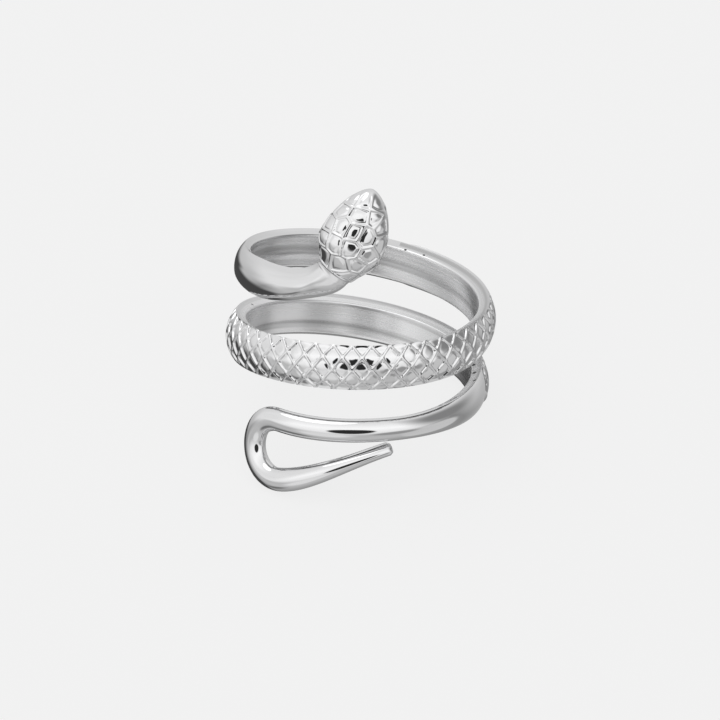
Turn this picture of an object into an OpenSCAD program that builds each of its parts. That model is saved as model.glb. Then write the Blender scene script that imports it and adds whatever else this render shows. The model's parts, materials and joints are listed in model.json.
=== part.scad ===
// Snake wrap ring, cast in one piece: a scaled band that winds round the finger,
// a smooth neck that turns up into the head, and a smooth tail bent back on itself.
// The snake is laid out flat first, by its length along the coil and its height,
// and then wrapped round the finger hole.

/* [Finger hole] */
// Inside diameter of the ring
finger_d = 17.3; // [15.5:0.1:19]

/* [Coil] */
// Height between one turn and the next at mid length
coil_pitch = 5.3; // [4.9:0.05:6.5]
// How much the turns open above and close below mid length
coil_ease = 0.36; // [0:0.02:0.6]
// Widest width of the band
band_w = 3.25; // [2.9:0.05:3.5]
// Width of the flat inner face
band_inner_w = 2.72; // [2.3:0.02:2.76]
// Height of the plain rim before the scales start
rim_h = 0.72; // [0.5:0.02:0.8]
// Thickness of the band at the middle, without the raised lines
band_t = 1.3; // [1.1:0.02:1.6]
// Small bevel along the inner edges
edge_bevel = 0.14; // [0.06:0.02:0.2]
// Gap between the finger and the inner side of the head, the neck and the tail
finger_gap = 0.1; // [0.06:0.02:0.2]

/* [Scales] */
// Length of one scale along the band
scale_l = 1.45; // [1.3:0.01:1.8]
// Height of the raised lines round the scales
line_h = 0.13; // [0.08:0.01:0.16]
// Width of a raised line at its foot
line_w = 0.36; // [0.26:0.02:0.4]
// Rise of the middle of a scale
scale_rise = 0.04; // [0:0.01:0.06]

/* [Neck] */
// Width of the neck where it is narrowest
neck_w = 2.3; // [1.9:0.05:2.6]
// Thickness of the neck on its way round the finger
neck_t = 1.2; // [1.1:0.02:1.4]
// Height of the collar, where the neck meets the head, over mid length
collar_z = 7.0; // [6.6:0.1:8]

/* [Head] */
// Length of the head from collar to snout
head_l = 7.05; // [6:0.05:8]
// Widest width of the head
head_w = 4.8; // [4:0.05:5.4]
// Height of the crown over the widest line
crown_h = 1.75; // [1.2:0.05:2]
// Depth of the jaw under the widest line
jaw_h = 1.0; // [0.8:0.02:1.2]
// Height of the raised lines round the head plates
plate_line_h = 0.1; // [0.06:0.01:0.14]
// Width of the raised lines round the head plates
plate_line_w = 0.44; // [0.36:0.02:0.5]

/* [Tail] */
// Width of the tail wire
tail_w = 1.84; // [1.4:0.02:1.96]
// Thickness of the tail wire
tail_t = 1.38; // [1.2:0.02:1.5]
// Length of the plain tail past the front, up to the bend
tail_l = 5.65; // [4:0.05:6]
// How far the tail sinks below the coil on its way to the bend
tail_drop = 0.34; // [0:0.02:0.4]
// Radius of the bend, to the middle of the wire
bend_r = 2.32; // [2.2:0.02:2.7]
// Length of the end that comes back under the tail
return_l = 8.15; // [6:0.05:8.6]
// Width of the tip
tip_w = 1.05; // [0.9:0.05:1.4]
// Length of the bevel at the end of the tip
tip_bevel = 0.22; // [0.1:0.02:0.4]
// Clear gap between the tip and the tail above it
tip_gap = 0.14; // [0.1:0.02:0.4]

/* [Rest] */
// How far the finger hole leans back as the ring stands
lean_back = 17.5; // [10:0.1:25]
// How far the finger hole leans sideways as the ring stands
lean_side = 6.3; // [0:0.1:10]

/* [Hidden] */

finger_r = finger_d / 2;
// Radius at which lengths along the coil are measured
coil_r = finger_r + band_t / 2;
mm_per_turn = 2 * PI * coil_r;
// Depth to which the band runs into the finger hole before it is bored
bore_bite = 0.15;
bore_sides = 180;

// Turns from mid length, head end first, at which the stretches of the coil meet
neck_turn = -0.833;
scale_first_turn = -0.46;
scale_last_turn = 0.7725;
tail_turn = 0.945;

// Small helpers
function mix(a, b, share) = a + (b - a) * share;
function ease(share) = let (s = min(max(share, 0), 1)) s * s * (3 - 2 * s);
function unit(v) = v / norm(v);
function heading(degrees) = [sin(degrees), cos(degrees)];
function curve_at(p, s) = len(p) == 3
    ? (1 - s) ^ 2 * p[0] + 2 * s * (1 - s) * p[1] + s ^ 2 * p[2]
    : (1 - s) ^ 3 * p[0] + 3 * s * (1 - s) ^ 2 * p[1] + 3 * s ^ 2 * (1 - s) * p[2] + s ^ 3 * p[3];
step = 0.001;
function curve_way(p, s) = unit(curve_at(p, s + step) - curve_at(p, s - step));

// Flat layout: [length along the coil from mid length, height]
function coil_at(turn) = [turn * mm_per_turn, -coil_pitch * turn + coil_ease * turn ^ 2];
function coil_way(turn) = unit(coil_at(turn + step) - coil_at(turn - step));

// The head leans over from upright, and more so at the collar, past the first front of the coil
head_lean = 18.5;
collar_lean = 34;
collar_a = 2.35;
collar = [-mm_per_turn + collar_a, collar_z];
snout = collar + head_l * heading(-head_lean);
head_curve = [snout, collar + head_l / 3 * heading(-collar_lean), collar];
neck_bend = [0.16 * coil_r, 0.37 * coil_r];
neck_curve = [
    collar,
    collar - neck_bend[0] * heading(-collar_lean),
    coil_at(neck_turn) - neck_bend[1] * coil_way(neck_turn),
    coil_at(neck_turn),
];

// The tail runs level to the bend, goes round it and comes back under itself
bend_top = [mm_per_turn + tail_l, coil_at(1)[1] - tail_drop];
bend_middle = bend_top - [0, bend_r];
bend_angle = 192;
function bend_at(s) = bend_middle + bend_r * heading(s * bend_angle);
function bend_way(s) = heading(90 + s * bend_angle);
tail_bend = 0.32 * coil_r;
tail_curve = [
    coil_at(tail_turn),
    coil_at(tail_turn) + tail_bend * coil_way(tail_turn),
    bend_top - [tail_bend, 0],
    bend_top,
];
tip_rise = 19;
tip_a = bend_at(1)[0] - return_l;
tip_drop = tail_w / 2 + tip_gap + tip_w / 2 / cos(tip_rise);
tip = [tip_a, coil_at(tip_a / mm_per_turn)[1] - tip_drop];
tip_way = [cos(tip_rise), -sin(tip_rise)];
return_bend = [0.3 * return_l, 0.42 * return_l];
return_curve = [
    bend_at(1),
    bend_at(1) + return_bend[0] * bend_way(1),
    tip + return_bend[1] * tip_way,
    tip,
];

// Sections: [half width, inner half width, rim height, thickness, dome angle, inner gap].
// The dome is the part of an arc within the dome angle of its top, stretched to the width.
// The inner gap is how far the inner face lies from the finger before the hole is bored.
gap = finger_gap;
band_section = [band_w / 2, band_inner_w / 2, rim_h, band_t, 42, -bore_bite];
nape_section = [0.46 * band_w, 0.46 * band_inner_w, 0.45 * neck_t, neck_t, 65, gap];
neck_section = [neck_w / 2, 0.38 * neck_w, 0.55 * neck_t, 1.25 * neck_t, 80, gap];
collar_section = [0.275 * head_w, 0.2 * head_w, 0.85 * jaw_h, jaw_h + 0.5 * crown_h, 88, gap];
tail_section = [tail_w / 2, 0.4 * tail_w, 0.45 * tail_t, tail_t, 85, gap];
tip_section = [tip_w / 2, 0.42 * tip_w, 0.45 * tip_w, 1.1 * tip_w, 85, gap];
end_section = [0.36 * tip_w, 0.3 * tip_w, 0.5 * tip_w, 0.95 * tip_w, 85, gap + 0.12 * tip_w];
taper_turn = 0.7;
function coil_section(turn) = turn < scale_first_turn
    ? mix(nape_section, band_section, ease((turn - neck_turn) / (scale_first_turn - neck_turn)))
    : mix(band_section, tail_section, ease((turn - taper_turn) / (tail_turn - taper_turn)));
neck_waist = 0.4;
function neck_at(s) = s < neck_waist
    ? mix(collar_section, neck_section, ease(s / neck_waist))
    : mix(neck_section, nape_section, ease((s - neck_waist) / (1 - neck_waist)));

// Half rows of scales on each side of the middle of the band
half_rows = 2;
outer_r = finger_r + band_t;
scale_cols = 2 * round((scale_last_turn - scale_first_turn) * 2 * PI * outer_r / scale_l);
dome_arc = band_section[0] / sin(band_section[4]) * band_section[4] * PI / 180;
scale_cell = [scale_l / 2, dome_arc / half_rows];
// Share of the way from a crossing to the middle of a scale that the raised line takes up
line_share = line_w / 2 * norm(scale_cell) / (scale_cell[0] * scale_cell[1]);

// A place on the dome of a section, with half rows counted from its middle, raised by lift
function dome_point(section, row, lift = 0) =
    let (
        dome = section[4],
        angle = dome * row / half_rows,
        rise = (section[3] - section[2]) * (cos(angle) - cos(dome)) / (1 - cos(dome))
    )
    [
        section[0] * sin(angle) / sin(dome) + lift * sin(angle),
        finger_r + section[2] + rise + lift * cos(angle),
    ];
// The rim below the dome, and the inner edge, which runs on into the finger hole on the band
function rim_height(section) = max(section[5], 0) + edge_bevel;
function rim_point(section, side) = [side * section[1], finger_r + rim_height(section)];
function inner_point(section, side) =
    [side * (section[1] - rim_height(section) + section[5]), finger_r + section[5]];
function whole_section(section, dome) = concat(
    [inner_point(section, -1), rim_point(section, -1)],
    dome,
    [rim_point(section, 1), inner_point(section, 1)]
);

// A section point [across, from the axis] wrapped round the finger at a place of the layout
function wrap(place, way, point) =
    let (
        angle = 360 * place[0] / mm_per_turn,
        out = [-sin(angle), -cos(angle), 0],
        along = [-cos(angle), sin(angle), 0]
    )
    out * point[1] + (along * -way[1] + [0, 0, way[0]]) * point[0] + [0, 0, place[1]];

// A ring is [points, places]: the places rise on the way round it, from 0 to below round
ring_end = 2 * half_rows + 5;
function ring(place, way, points, places) = [[for (p = points) wrap(place, way, p)], places];
dome_steps = 4 * half_rows;
ring_places = concat(
    [0, 1],
    [for (k = [0:dome_steps]) 2 + k / 2],
    [ring_end - 2, ring_end - 1]
);
function plain_ring(place, way, section) = ring(
    place,
    way,
    whole_section(section, [for (k = [0:dome_steps]) dome_point(section, k / 2 - half_rows)]),
    ring_places
);

// Head: an egg seen from above, over a jaw of the same outline
head_steps = 40;
head_spread = 1.3;
widest = 0.47;
function egg(s, power) = max(1 - max((s - widest) / (1 - widest), 0) ^ 2, 0) ^ power;
function swell(s, start) = mix(start, 1, ease(s / widest));
function head_sizes(s) = [
    head_w / 2 * egg(s, 0.6) * swell(s, 0.55),
    crown_h * egg(s, 0.5) * swell(s, 0.5),
    (jaw_h - finger_gap) * egg(s, 0.4),
];

// Middles of the head plates: [degrees round the head from the crown, share of the way from
// collar to snout]
head_plates = [
    [-39, 0.17], [-3, 0.26], [44, 0.24],
    [-64, 0.36], [-31, 0.35], [27, 0.47], [55, 0.45],
    [-2, 0.5], [-38, 0.49], [-58, 0.63], [-22, 0.65],
    [6, 0.66], [30, 0.66], [61, 0.61], [-50, 0.76],
    [-36, 0.83], [11, 0.8], [55, 0.79],
    [-40, 0.92], [14, 0.93], [57, 0.9],
    [90, 0.3], [95, 0.55], [95, 0.8], [-95, 0.25], [-95, 0.5], [-90, 0.78],
];
// The raised lines stop at the collar line and fade out under the jaw and at the snout
collar_line = 0.09;
jaw_line = 100;
jaw_fade = 20;
snout_fade = 1 / 12;
function plate_gap(sizes, turn, s) =
    let (
        mm_per_degree = (sizes[0] + sizes[1]) * PI / 360,
        gaps = [for (p = head_plates) norm([(p[0] - turn) * mm_per_degree, (p[1] - s) * head_l])],
        nearest = min(gaps),
        own = search(nearest, gaps)[0],
        others = [for (k = [0:len(gaps) - 1]) if (k != own) gaps[k]],
        collar_gap = 2 * (s - collar_line) * head_l
    )
    collar_gap < 0 ? -collar_gap : min(collar_gap, min(others) - nearest);
// Raised lines are slopes of more than full height, cut off level at the top
line_fullness = 1.3;
function head_point(s, turn) =
    let (
        sizes = head_sizes(s),
        fade = ease((jaw_line - abs(turn)) / jaw_fade) * ease((1 - s) / snout_fade),
        slope = ease(line_fullness * (1 - plate_gap(sizes, turn, s) / plate_line_w)),
        lift = plate_line_h * slope * fade,
        height = cos(turn) > 0 ? sizes[1] : sizes[2]
    )
    [(sizes[0] + lift) * sin(turn), finger_r + jaw_h + (height + lift) * cos(turn)];
// Sides of the head, close together over the crown and further apart under the jaw
crown_sides = 40;
jaw_sides = 10;
crown_turn = 205;
crown_turns = [for (k = [0:crown_sides - 1]) crown_turn * ((k + 0.5) / crown_sides - 0.5)];
jaw_turns = [for (k = [0:jaw_sides - 1])
    crown_turn / 2 + (360 - crown_turn) * (k + 0.5) / jaw_sides];
// The crown lies over the middle of the dome, at this place of the rings
middle_place = 2 + half_rows;
last_turn = 360 * (1 - middle_place / ring_end);
head_turns = concat(
    [for (turn = jaw_turns) if (turn > last_turn) turn - 360],
    crown_turns,
    [for (turn = jaw_turns) if (turn <= last_turn) turn]
);
head_sides = len(head_turns);
head_places = [for (turn = head_turns) middle_place + turn / 360 * ring_end];
function head_ring(s) = ring(
    curve_at(head_curve, 1 - s),
    curve_way(head_curve, 1 - s),
    [for (turn = head_turns) head_point(s, turn)],
    head_places
);

// Scales: their lines cross where column and row add up to an even number. They end in a
// point towards the neck and another towards the tail, and in a border line at each edge.
function is_crossing(col, row) = (col + row) % 2 == 0;
function on_pattern(col, row) = col >= abs(row) && col <= scale_cols - abs(row);
function is_border(row) = abs(row) == half_rows;
function scale_lift(col, row) = !on_pattern(col, row)
    ? 0
    : is_crossing(col, row) || is_border(row) ? line_h : scale_rise;
function line_foot(col, row) = is_crossing(col, row) ? line_share : 1 - line_share;
function scale_turn(col) = mix(scale_first_turn, scale_last_turn, col / scale_cols);
function scale_ring(col) =
    let (
        turn = scale_turn(col),
        section = coil_section(turn),
        dome = [for (k = [0:dome_steps])
            let (row = floor(k / 2) - half_rows)
            k % 2 == 0
                ? dome_point(section, row, scale_lift(col, row))
                : dome_point(section, row + line_foot(col, row))]
    )
    ring(coil_at(turn), coil_way(turn), whole_section(section, dome), ring_places);
// The feet of the lines between this column and the next, one in each row
function foot_points(col) = [for (row = [-half_rows:half_rows])
    let (
        foot = col + line_foot(col, row),
        turn = scale_turn(foot),
        lift = is_border(row) ? scale_lift(foot, row) : 0
    )
    wrap(coil_at(turn), coil_way(turn), dome_point(coil_section(turn), row, lift))];

// Faces between two columns of scales, whose first points are a and b, with the feet from c on
function scale_faces(a, b, c, col) =
    let (
        top = 2,
        end = top + dome_steps,
        c_end = c + 2 * half_rows
    )
    concat(
        [[a, b, b + 1], [a, b + 1, a + 1]],
        [[a + 1, b + 1, c], [a + 1, c, a + top], [b + 1, b + top, c]],
        [for (k = [0:2 * half_rows - 1])
            let (
                p = a + top + 2 * k,
                q = b + top + 2 * k,
                f = c + k
            )
            each is_crossing(col, k - half_rows)
                ? [
                    [p, q + 2, f + 1], [p, f + 1, p + 1], [p + 1, f + 1, p + 2],
                    [p, f, q + 1], [p, q + 1, q + 2], [f, q, q + 1],
                ]
                : [
                    [p, f, p + 1], [f, q, p + 2], [f, p + 2, p + 1],
                    [q + 1, q + 2, f + 1], [q, q + 1, f + 1], [q, f + 1, p + 2],
                ]],
        [[a + end, c_end, a + end + 1], [c_end, b + end, b + end + 1]],
        [[c_end, b + end + 1, a + end + 1]],
        [[a + end + 1, b + end + 1, b + end + 2], [a + end + 1, b + end + 2, a + end + 2]],
        [[a + end + 2, b + end + 2, b], [a + end + 2, b, a]]
    );

// Faces between two rings, whose first points are a and b, taken in the order of their places
function ring_faces(a, a_places, b, b_places) =
    let (
        a_next = [for (k = [1:len(a_places)]) k < len(a_places) ? a_places[k] : ring_end],
        b_next = [for (k = [1:len(b_places)]) k < len(b_places) ? b_places[k] : ring_end],
        na = len(a_places),
        nb = len(b_places)
    )
    [for (
        i = 0, j = 0, on_a = false;
        i < na || j < nb;
        on_a = j >= nb || (i < na && a_next[i] <= b_next[j]),
        i = on_a ? i + 1 : i,
        j = on_a ? j : j + 1
    )
        j >= nb || (i < na && a_next[i] <= b_next[j])
            ? [a + i % na, b + j % nb, a + (i + 1) % na]
            : [a + i % na, b + j % nb, b + (j + 1) % nb]];

// All rings from snout to tip
neck_steps = 14;
nape_steps = 22;
rump_steps = 9;
tail_steps = 10;
bend_steps = 18;
return_steps = 14;
head_rings = [for (k = [1:head_steps]) head_ring(1 - (k / head_steps) ^ head_spread)];
neck_rings = [for (k = [1:neck_steps - 1])
    let (s = k / neck_steps)
    plain_ring(curve_at(neck_curve, s), curve_way(neck_curve, s), neck_at(s))];
nape_rings = [for (k = [0:nape_steps - 1])
    let (turn = mix(neck_turn, scale_first_turn, k / nape_steps))
    plain_ring(coil_at(turn), coil_way(turn), coil_section(turn))];
scale_rings = [for (col = [0:scale_cols]) scale_ring(col)];
rump_rings = [for (k = [1:rump_steps])
    let (turn = mix(scale_last_turn, tail_turn, k / rump_steps))
    plain_ring(coil_at(turn), coil_way(turn), coil_section(turn))];
tail_rings = [for (k = [1:tail_steps - 1])
    let (s = k / tail_steps)
    plain_ring(curve_at(tail_curve, s), curve_way(tail_curve, s), tail_section)];
bend_rings = [for (k = [0:bend_steps])
    let (s = k / bend_steps)
    plain_ring(bend_at(s), bend_way(s), tail_section)];
return_rings = [for (k = [1:return_steps])
    let (
        s = k / return_steps,
        section = mix(tail_section, tip_section, ease(s))
    )
    plain_ring(curve_at(return_curve, s), curve_way(return_curve, s), section)];
tip_end_way = curve_way(return_curve, 1);
tip_end_ring = plain_ring(tip + tip_bevel * tip_end_way, tip_end_way, end_section);

front_rings = concat(head_rings, neck_rings, nape_rings);
back_rings = concat(rump_rings, tail_rings, bend_rings, return_rings, [tip_end_ring]);
all_rings = concat(front_rings, scale_rings, back_rings);
// First point of each ring, after the snout's own point
ring_count = len(all_rings);
ring_starts = [for (
    k = 0, sum = 1;
    k <= ring_count;
    sum = k < ring_count ? sum + len(all_rings[k][1]) : sum,
    k = k + 1
) sum];
feet_start = ring_starts[ring_count];
feet = [for (col = [0:scale_cols - 1]) each foot_points(col)];
tip_point = feet_start + len(feet);
first_scale_ring = len(front_rings);
last_ring = ring_count - 1;

snout_place = curve_at(head_curve, 0);
tip_ring = all_rings[last_ring][0];
tip_sides = len(tip_ring);
function middle_of(points) = [for (axis = [0:2])
    let (all = [for (p = points) p[axis]])
    (min(all) + max(all)) / 2];

snake_points = concat(
    [wrap(snout_place, curve_way(head_curve, 0), [0, finger_r + jaw_h])],
    [for (r = all_rings) each r[0]],
    feet,
    [middle_of(tip_ring)]
);
snake_faces = concat(
    [for (j = [0:head_sides - 1]) [0, 1 + j, 1 + (j + 1) % head_sides]],
    [for (k = [0:last_ring - 1])
        let (col = k - first_scale_ring)
        each col >= 0 && col < scale_cols
            ? scale_faces(
                ring_starts[k], ring_starts[k + 1], feet_start + col * (2 * half_rows + 1), col
            )
            : ring_faces(
                ring_starts[k], all_rings[k][1], ring_starts[k + 1], all_rings[k + 1][1]
            )],
    [for (i = [0:tip_sides - 1])
        [ring_starts[last_ring] + i, tip_point, ring_starts[last_ring] + (i + 1) % tip_sides]]
);

// The ring stands on its tail bend and on the underside of the coil at the back
function stand(p) =
    let (
        back = [
            p[0],
            p[1] * cos(lean_back) + p[2] * sin(lean_back),
            p[2] * cos(lean_back) - p[1] * sin(lean_back),
        ]
    )
    [
        back[0] * cos(lean_side) + back[2] * sin(lean_side),
        back[1],
        back[2] * cos(lean_side) - back[0] * sin(lean_side),
    ];
standing = [for (p = snake_points) stand(p)];
standing_low = [for (axis = [0:2]) min([for (p = standing) p[axis]])];
standing_high = [for (axis = [0:2]) max([for (p = standing) p[axis]])];
foot_middle = [
    (standing_low[0] + standing_high[0]) / 2,
    (standing_low[1] + standing_high[1]) / 2,
    standing_low[2],
];

module snake_ring() {
    bore_h = 4 * (head_l + coil_pitch + 2 * bend_r);
    color("silver")
    translate(-foot_middle)
    rotate([-lean_back, lean_side, 0])
    difference() {
        polyhedron(snake_points, snake_faces, convexity = 12);
        cylinder(r = finger_r, h = bore_h, center = true, $fn = bore_sides);
    }
}

snake_ring();
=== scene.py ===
"""Snake wrap ring: the cast ring as one skin that follows the frame, and a plain studio."""

import json
import math

import bmesh
import bpy
import numpy as np
from bpy.props import FloatProperty, FloatVectorProperty, IntProperty, PointerProperty
from mathutils import Matrix, Vector


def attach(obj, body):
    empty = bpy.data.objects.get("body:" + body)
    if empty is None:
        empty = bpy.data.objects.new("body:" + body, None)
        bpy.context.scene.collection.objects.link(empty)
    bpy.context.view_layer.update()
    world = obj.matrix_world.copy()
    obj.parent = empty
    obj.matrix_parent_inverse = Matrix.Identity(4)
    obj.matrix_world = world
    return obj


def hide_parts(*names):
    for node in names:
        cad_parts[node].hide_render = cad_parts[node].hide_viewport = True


bl_info = {
    "name": "Snake wrap ring",
    "version": (1, 0, 0),
    "blender": (4, 5, 0),
    "location": "3D View > Sidebar > Snake ring",
    "description": "Builds the cast snake ring and its studio",
    "category": "Add Mesh",
}

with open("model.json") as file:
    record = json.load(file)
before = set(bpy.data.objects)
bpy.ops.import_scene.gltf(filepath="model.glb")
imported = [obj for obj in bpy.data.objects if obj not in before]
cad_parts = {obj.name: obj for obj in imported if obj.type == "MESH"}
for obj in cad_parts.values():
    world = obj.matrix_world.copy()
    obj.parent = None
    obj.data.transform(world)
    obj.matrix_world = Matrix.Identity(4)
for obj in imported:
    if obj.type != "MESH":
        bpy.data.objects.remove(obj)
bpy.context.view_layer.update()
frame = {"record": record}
FINGER_HOLE = frame["record"]["mounts"][0]
MM = 0.001


def kind_of(prop, convert=float, **settings):
    """Function that makes properties of one kind from a name, a description and a default."""

    def make(name, description, default):
        return prop(name=name, description=description, default=convert(default), **settings)

    return make


length = kind_of(FloatProperty, lambda mm: mm * MM, unit="LENGTH", precision=5)
degrees = kind_of(FloatProperty, math.radians, subtype="ANGLE")
share = kind_of(FloatProperty, min=0, max=1, subtype="FACTOR")
number = kind_of(FloatProperty)
whole = kind_of(IntProperty, int, min=1)
colour = kind_of(FloatVectorProperty, tuple, size=3, min=0, max=1, subtype="COLOR")


class SnakeRingCoil(bpy.types.PropertyGroup):
    """Sizes of the coil and its band"""

    finger_r: length("Finger hole radius", "Inside radius of the ring", FINGER_HOLE["dims"]["r_mm"])
    pitch: length("Turn to turn", "Height between two turns at mid length", 5.3)
    easing: length("Easing", "How much the turns open above and close below", 0.36)
    band_w: length("Band width", "Widest width of the band", 3.25)
    inner_w: length("Inner width", "Width of the flat inner face", 2.72)
    rim_h: length("Rim height", "Height of the plain rim before the scales", 0.72)
    band_t: length("Band thickness", "Thickness at the middle, without the lines", 1.3)
    bevel: length("Inner bevel", "Rounding of the inner edges", 0.14)
    gap: length("Finger gap", "Gap between the finger and the head, neck and tail", 0.1)
    dome: degrees("Dome angle", "Angle from the dome's top to the rim", 42)
    streak_h: length("Streak depth", "Depth of the long hollows in the inner face", 0.1)
    lean_back: degrees("Lean back", "How far the finger hole leans back", 17.5)
    lean_side: degrees("Lean aside", "How far the finger hole leans sideways", 6.3)


class SnakeRingScales(bpy.types.PropertyGroup):
    """Sizes of the raised lines round the scales"""

    first_turn: number("First turn", "Where the scales start, in turns from mid length", -0.46)
    last_turn: number("Last turn", "Where the scales end, in turns from mid length", 0.7725)
    columns: whole("Half columns", "Half scales along the band", 106)
    half_rows: whole("Half rows", "Half scales from the middle to the edge", 2)
    line_h: length("Line height", "Height of the raised lines", 0.13)
    line_top: length("Line top", "Half width of a line's level top", 0.04)
    line_foot: length("Line foot", "Half width of a line at its foot", 0.12)
    corner: length("Corner rounding", "How much the corners of the scales are rounded", 0.045)
    rise: length("Scale rise", "Rise of the middle of a scale", 0.035)
    rise_l: length("Scale rise length", "Length over which a scale rises beside its line", 0.2)
    fineness: whole("Fineness", "Steps in half a scale", 8)
    draw: number("Draw", "How much the points are drawn together at the lines", 0.6)


class SnakeRingNeck(bpy.types.PropertyGroup):
    """Sizes of the neck"""

    width: length("Neck width", "Width where the neck is narrowest", 2.3)
    thickness: length("Neck thickness", "Thickness on its way round the finger", 1.2)
    turn: number("Neck turn", "Where the neck leaves the coil, in turns from mid length", -0.833)
    collar_a: length("Collar place", "Along the coil from its first front to the collar", 2.35)
    collar_z: length("Collar height", "Height of the collar over mid length", 7.0)
    keel_h: length("Keel height", "Height of the ridge along the neck", 0.12)
    keel_l: length("Keel length", "From the coil's first front to the end of the ridge", 17)
    keel_w: number("Keel width", "Half width of the ridge, in half scales", 1.15)
    keel_row: number("Keel row", "Place of the ridge, in half scales from the middle", -0.8)
    keel_start: number("Keel start", "Place of the ridge at the collar", 0.4)


class SnakeRingHead(bpy.types.PropertyGroup):
    """Sizes of the head"""

    length: length("Head length", "From the collar to the snout", 7.05)
    width: length("Head width", "Widest width", 4.8)
    crown_h: length("Crown height", "Height of the crown over the widest line", 1.75)
    jaw_h: length("Jaw depth", "Depth of the jaw under the widest line", 1.0)
    lean: degrees("Head lean", "Lean of the head from upright", 18.5)
    collar_lean: degrees("Collar lean", "Lean of the head where it starts", 34)
    line_h: length("Plate line height", "Height of the lines round the plates", 0.1)
    line_top: length("Plate line top", "Half width of a line's level top", 0.03)
    line_foot: length("Plate line foot", "Half width of a line at its foot", 0.11)
    rise: length("Plate rise", "Rise of the middle of a plate", 0.06)
    rise_l: length("Plate rise length", "Length over which a plate rises beside its line", 0.22)
    steps: whole("Steps", "Rings of points from snout to collar", 150)
    sides: whole("Sides", "Points round the head", 190)


class SnakeRingTail(bpy.types.PropertyGroup):
    """Sizes of the tail"""

    width: length("Tail width", "Width of the tail wire", 1.84)
    thickness: length("Tail thickness", "Thickness of the tail wire", 1.38)
    turn: number("Tail turn", "Where the band has become the tail wire", 0.945)
    taper_turn: number("Taper turn", "Where the band starts to taper", 0.7)
    length: length("Tail length", "Plain tail past the front, up to the bend", 5.65)
    drop: length("Tail drop", "How far the tail sinks below the coil at the bend", 0.34)
    bend_r: length("Bend radius", "Radius of the bend, to the middle of the wire", 2.32)
    bend: degrees("Bend angle", "How far the bend turns the wire", 192)
    back_l: length("Return length", "Length of the end that comes back", 8.15)
    tip_w: length("Tip width", "Width of the tip", 1.05)
    tip_bevel: length("Tip bevel", "Length of the bevel at the end of the tip", 0.22)
    tip_gap: length("Tip gap", "Clear gap between the tip and the tail above", 0.14)
    tip_rise: degrees("Tip rise", "Rise of the returning end", 19)


class SnakeRingMetal(bpy.types.PropertyGroup):
    """Look of the metal"""

    tone: colour("Tone", "Colour of the polished steel", (0.76, 0.76, 0.765))
    polish: share("Polish", "Roughness of the outside", 0.06)
    inside: share("Inside polish", "Roughness of the inner face", 0.28)
    wear: share("Wear", "Strength of the fine marks", 0.35)


class SnakeRingStage(bpy.types.PropertyGroup):
    """Camera and studio"""

    azimuth: degrees("Azimuth", "Side from which the camera looks", 4.592)
    elevation: degrees("Elevation", "Height from which the camera looks", 35.947)
    roll: degrees("Roll", "Roll of the camera", 2.250)
    distance: length("Distance", "From the camera to the middle of the finger hole", 279)
    lens: number("Lens", "Focal length in millimetres on a sensor of 36", 185.2)
    aim_right: length("Aim right", "Aim beside the middle of the finger hole", -0.05)
    aim_up: length("Aim up", "Aim above the middle of the finger hole", -2.53)
    floor: colour("Floor", "Colour of the floor", (0.9, 0.9, 0.9))
    backdrop: colour("Backdrop", "Colour behind the floor", (0.885, 0.885, 0.885))
    light: number("Light", "Strength of the studio's light", 1.0)
    shade: number("Shade", "How much of the ring's shade the floor shows", 0.1)
    floor_r: length("Floor radius", "Radius of the floor", 900)


GROUPS = {
    "snake_coil": SnakeRingCoil,
    "snake_scales": SnakeRingScales,
    "snake_neck": SnakeRingNeck,
    "snake_head": SnakeRingHead,
    "snake_tail": SnakeRingTail,
    "snake_metal": SnakeRingMetal,
    "snake_stage": SnakeRingStage,
}


# Fixed shapes

# Middles of the head plates: degrees round the head from the crown, share from collar to snout
PLATES = (
    (-39, 0.17), (-3, 0.26), (44, 0.24),
    (-64, 0.36), (-31, 0.35), (27, 0.47), (55, 0.45),
    (-2, 0.5), (-38, 0.49), (-58, 0.63), (-22, 0.65),
    (6, 0.66), (30, 0.66), (61, 0.61), (-50, 0.76),
    (-36, 0.83), (11, 0.8), (55, 0.79),
    (-40, 0.92), (14, 0.93), (57, 0.9),
    (90, 0.3), (95, 0.55), (95, 0.8), (-95, 0.25), (-95, 0.5), (-90, 0.78),
)

# Places on the head, as shares from collar to snout
COLLAR_LINE = 0.09
WIDEST = 0.47

# The raised lines fade out before the jaw line, and over the last twelfth before the snout
JAW_LINE = math.radians(100)
JAW_FADE = math.radians(20)
SNOUT_FADE = 12

# Outline of the head: powers of its egg curve, and its size at the collar beside the widest
SIDES_POWER, CROWN_POWER, JAW_POWER = 0.6, 0.5, 0.4
SIDES_AT_COLLAR, CROWN_AT_COLLAR = 0.55, 0.5

# How far the curves reach straight on from their ends: at the collar, nape and tail as shares of
# the coil's radius, and at the bend and tip as shares of the returning end's length
COLLAR_REACH, NAPE_REACH, TAIL_REACH = 0.16, 0.37, 0.32
BEND_REACH, TIP_REACH = 0.3, 0.42

# Share of the neck's length at which it is narrowest
WAIST_AT = 0.4

# Shares of the neck ridge's length: where it is full, has come to its row, and starts to fade
KEEL_FULL, KEEL_SETTLED, KEEL_FADES = 0.08, 0.25, 0.6

# Share of a line's foot at which the scale or plate beside it starts to rise
RISE_START = 0.8

# Long shallow hollows in the inner face of neck, nape and tail: how many across it, share of the
# depth, how far they wander to the sides, and the length along the snake in which they do
STREAKS = ((1.6, 0.32, 0.16, 6.0 * MM), (3.4, 0.18, 0.22, 4.3 * MM))
STREAK_MEAN = 0.5
STREAK_EDGE = 0.08

# The scaled band is laid this far into the finger hole, and wrapping brings it out to the wall
BORE_BITE = 0.15 * MM

# Points round a section: on a bevel, up a side and across the inner face
BEVEL_STEPS = 3
SIDE_SHARES = (0.12, 0.35, 0.6, 0.85)
INNER_STEPS = 15

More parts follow.
